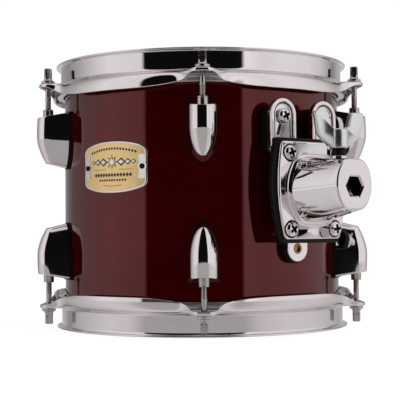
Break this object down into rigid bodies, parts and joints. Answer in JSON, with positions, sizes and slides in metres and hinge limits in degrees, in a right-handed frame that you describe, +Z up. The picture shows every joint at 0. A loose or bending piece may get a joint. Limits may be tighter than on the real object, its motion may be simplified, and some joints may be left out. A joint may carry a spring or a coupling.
{
  "type": "tom tom drum",
  "caption": "Rack tom drum: round wooden shell, two heads under flanged metal hoops on tension rods, tube lugs, and a suspended bracket with a hexagonal rod receiver.",
  "frame": {"origin": "on the surface the drum stands on, under the centre of its bounding box; the drum's own axis is vertical at x = 0, y = 0.02465 m", "axes": "+Z up along the drum's axis, towards the batter head; the rod receiver points along -Y; +X to the right seen from the receiver's side"},
  "size_m": [0.2976, 0.3596, 0.2392],
  "materials": {
    "cranberry_lacquer": "high-gloss clear lacquer over deep cranberry-stained birch; bare maple-coloured wood inside",
    "chrome": "mirror chrome plate",
    "plated_steel": "bright nickel plate, slightly softer than the chrome",
    "satin_metal": "satin, finely blasted die cast",
    "head_aluminium": "plain extruded aluminium",
    "clear_film": "clear polyester film, 0.25 mm, faintly hazy",
    "black_rubber": "moulded black rubber, semi-matt",
    "badge_gold": "satin champagne-gold face inside a bright silver border"
  },
  "bodies": {
    "drum": {"shell": "cranberry_lacquer", "vent_grommet": "plated_steel", "badge": "badge_gold", "batter_lug_1": "chrome", "batter_lug_2": "chrome", "batter_lug_3": "chrome", "batter_lug_4": "chrome", "batter_lug_5": "chrome", "batter_lug_gasket_1": "black_rubber", "batter_lug_gasket_2": "black_rubber", "batter_lug_gasket_3": "black_rubber", "batter_lug_gasket_4": "black_rubber", "batter_lug_gasket_5": "black_rubber", "batter_swivel_nut_1": "plated_steel", "batter_swivel_nut_2": "plated_steel", "batter_swivel_nut_3": "plated_steel", "batter_swivel_nut_4": "plated_steel", "batter_swivel_nut_5": "plated_steel", "resonant_lug_1": "chrome", "resonant_lug_2": "chrome", "resonant_lug_3": "chrome", "resonant_lug_4": "chrome", "resonant_lug_5": "chrome", "resonant_lug_gasket_1": "black_rubber", "resonant_lug_gasket_2": "black_rubber", "resonant_lug_gasket_3": "black_rubber", "resonant_lug_gasket_4": "black_rubber", "resonant_lug_gasket_5": "black_rubber", "resonant_swivel_nut_1": "plated_steel", "resonant_swivel_nut_2": "plated_steel", "resonant_swivel_nut_3": "plated_steel", "resonant_swivel_nut_4": "plated_steel", "resonant_swivel_nut_5": "plated_steel", "mount_seat": "black_rubber", "mount_bracket": "chrome", "receiver_gasket": "black_rubber", "receiver_housing": "chrome", "receiver_screw_1": "plated_steel", "receiver_screw_2": "plated_steel", "receiver_screw_3": "plated_steel", "receiver_screw_4": "plated_steel"},
    "batter_rim": {"batter_hoop": "chrome", "batter_head_film": "clear_film", "batter_flesh_hoop": "head_aluminium"},
    "resonant_rim": {"resonant_hoop": "chrome", "resonant_head_film": "clear_film", "resonant_flesh_hoop": "head_aluminium"},
    "batter_rod_1": {"batter_tension_rod_1": "plated_steel"},
    "batter_rod_2": {"batter_tension_rod_2": "plated_steel"},
    "batter_rod_3": {"batter_tension_rod_3": "plated_steel"},
    "batter_rod_4": {"batter_tension_rod_4": "plated_steel"},
    "batter_rod_5": {"batter_tension_rod_5": "plated_steel"},
    "resonant_rod_1": {"resonant_tension_rod_1": "plated_steel"},
    "resonant_rod_2": {"resonant_tension_rod_2": "plated_steel"},
    "resonant_rod_3": {"resonant_tension_rod_3": "plated_steel"},
    "resonant_rod_4": {"resonant_tension_rod_4": "plated_steel"},
    "resonant_rod_5": {"resonant_tension_rod_5": "plated_steel"},
    "clamp": {"clamp_shoe": "plated_steel", "bolt_sleeve": "black_rubber"},
    "wing_bolt": {"wing_bolt": "satin_metal"}
  },
  "joints": [
    {"name": "batter_rim_lift", "type": "slide", "parent": "drum", "child": "batter_rim", "axis": [0, 0, 1], "range_m": [0, 0.01]},
    {"name": "resonant_rim_lift", "type": "slide", "parent": "drum", "child": "resonant_rim", "axis": [0, 0, -1], "range_m": [0, 0.01]},
    {"name": "batter_rod_turn_1", "type": "hinge", "parent": "batter_rim", "child": "batter_rod_1", "pos_m": [-0.08523, -0.09266, 0.2212], "axis": [0, 0, 1], "range_deg": [0, 3405]},
    {"name": "batter_rod_turn_2", "type": "hinge", "parent": "batter_rim", "child": "batter_rod_2", "pos_m": [0.08523, -0.09266, 0.2212], "axis": [0, 0, 1], "range_deg": [0, 3405]},
    {"name": "batter_rod_turn_3", "type": "hinge", "parent": "batter_rim", "child": "batter_rod_3", "pos_m": [0.1379, 0.06946, 0.2212], "axis": [0, 0, 1], "range_deg": [0, 3405]},
    {"name": "batter_rod_turn_4", "type": "hinge", "parent": "batter_rim", "child": "batter_rod_4", "pos_m": [0, 0.16965, 0.2212], "axis": [0, 0, 1], "range_deg": [0, 3405]},
    {"name": "batter_rod_turn_5", "type": "hinge", "parent": "batter_rim", "child": "batter_rod_5", "pos_m": [-0.1379, 0.06946, 0.2212], "axis": [0, 0, 1], "range_deg": [0, 3405]},
    {"name": "resonant_rod_turn_1", "type": "hinge", "parent": "resonant_rim", "child": "resonant_rod_1", "pos_m": [-0.08523, -0.09266, 0.018], "axis": [0, 0, -1], "range_deg": [0, 3405]},
    {"name": "resonant_rod_turn_2", "type": "hinge", "parent": "resonant_rim", "child": "resonant_rod_2", "pos_m": [0.08523, -0.09266, 0.018], "axis": [0, 0, -1], "range_deg": [0, 3405]},
    {"name": "resonant_rod_turn_3", "type": "hinge", "parent": "resonant_rim", "child": "resonant_rod_3", "pos_m": [0.1379, 0.06946, 0.018], "axis": [0, 0, -1], "range_deg": [0, 3405]},
    {"name": "resonant_rod_turn_4", "type": "hinge", "parent": "resonant_rim", "child": "resonant_rod_4", "pos_m": [0, 0.16965, 0.018], "axis": [0, 0, -1], "range_deg": [0, 3405]},
    {"name": "resonant_rod_turn_5", "type": "hinge", "parent": "resonant_rim", "child": "resonant_rod_5", "pos_m": [-0.1379, 0.06946, 0.018], "axis": [0, 0, -1], "range_deg": [0, 3405]},
    {"name": "clamp_travel", "type": "slide", "parent": "drum", "child": "clamp", "axis": [0, 0, 1], "range_m": [-0.002, 0.003]},
    {"name": "wing_bolt_turn", "type": "hinge", "parent": "clamp", "child": "wing_bolt", "pos_m": [0, -0.16135, 0.1536], "axis": [0, 0, 1], "range_deg": [-577, 865]}
  ],
  "couplings": [
    {"joint": "batter_rod_turn_1", "follows": "batter_rim_lift", "rad_per_m": 5937.1},
    {"joint": "batter_rod_turn_2", "follows": "batter_rim_lift", "rad_per_m": 5937.1},
    {"joint": "batter_rod_turn_3", "follows": "batter_rim_lift", "rad_per_m": 5937.1},
    {"joint": "batter_rod_turn_4", "follows": "batter_rim_lift", "rad_per_m": 5937.1},
    {"joint": "batter_rod_turn_5", "follows": "batter_rim_lift", "rad_per_m": 5937.1},
    {"joint": "resonant_rod_turn_1", "follows": "resonant_rim_lift", "rad_per_m": 5937.1},
    {"joint": "resonant_rod_turn_2", "follows": "resonant_rim_lift", "rad_per_m": 5937.1},
    {"joint": "resonant_rod_turn_3", "follows": "resonant_rim_lift", "rad_per_m": 5937.1},
    {"joint": "resonant_rod_turn_4", "follows": "resonant_rim_lift", "rad_per_m": 5937.1},
    {"joint": "resonant_rod_turn_5", "follows": "resonant_rim_lift", "rad_per_m": 5937.1},
    {"joint": "wing_bolt_turn", "follows": "clamp_travel", "rad_per_m": 5026.5}
  ]
}
